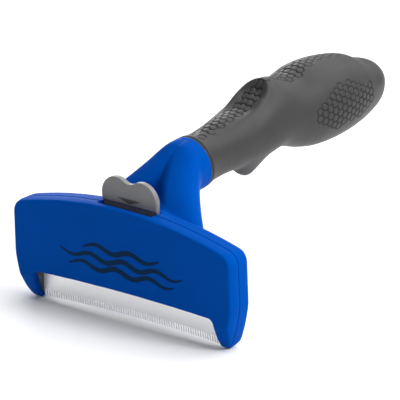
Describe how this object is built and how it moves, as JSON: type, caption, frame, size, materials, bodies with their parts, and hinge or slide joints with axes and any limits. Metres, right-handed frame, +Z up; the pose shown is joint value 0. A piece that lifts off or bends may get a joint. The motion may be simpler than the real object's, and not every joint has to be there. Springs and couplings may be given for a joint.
{
  "type": "deshedding tool",
  "caption": "Pet deshedding tool: wide head with a toothed steel blade, a sprung push tab that wipes hair off it, and a contoured soft grip set square to the head.",
  "frame": {"origin": "centre of the flat front face of the head", "axes": "X across the head, -Y out of the front face and +Y back along the handle, +Z up with the teeth pointing down"},
  "size_m": [0.1244, 0.163, 0.0854],
  "materials": {
    "blue_plastic": "satin moulded plastic",
    "dark_plastic": "fine moulded grain",
    "grey_plastic": "satin moulded plastic",
    "trim_plastic": "satin",
    "blade_steel": "fine brushed stainless",
    "hardware_steel": "zinc plated",
    "soft_grip": "matte thermoplastic rubber with cell texture"
  },
  "bodies": {
    "tool": {"front_cover": "blue_plastic", "rear_housing": "blue_plastic", "blade_carrier": "dark_plastic", "blade": "blade_steel", "blade_clamp": "hardware_steel", "blade_screws": "hardware_steel", "cover_screws": "hardware_steel", "return_spring_left": "hardware_steel", "return_spring_right": "hardware_steel", "spring_post_left": "hardware_steel", "spring_post_right": "hardware_steel", "collar_ring": "trim_plastic", "handle_core": "dark_plastic", "spigot_pin": "hardware_steel", "grip": "soft_grip"},
    "ejector": {"ejector_button": "grey_plastic", "button_screws": "hardware_steel", "ejector_plate": "dark_plastic", "wiper_bar": "dark_plastic", "wiper_screws": "hardware_steel"}
  },
  "joints": [
    {"name": "ejector_slide", "type": "slide", "parent": "tool", "child": "ejector", "axis": [0, 0, -1], "range_m": [0, 0.01], "stiffness_N_per_m": 400, "springref_m": -0.005, "deforming": ["return_spring_left", "return_spring_right"]}
  ]
}
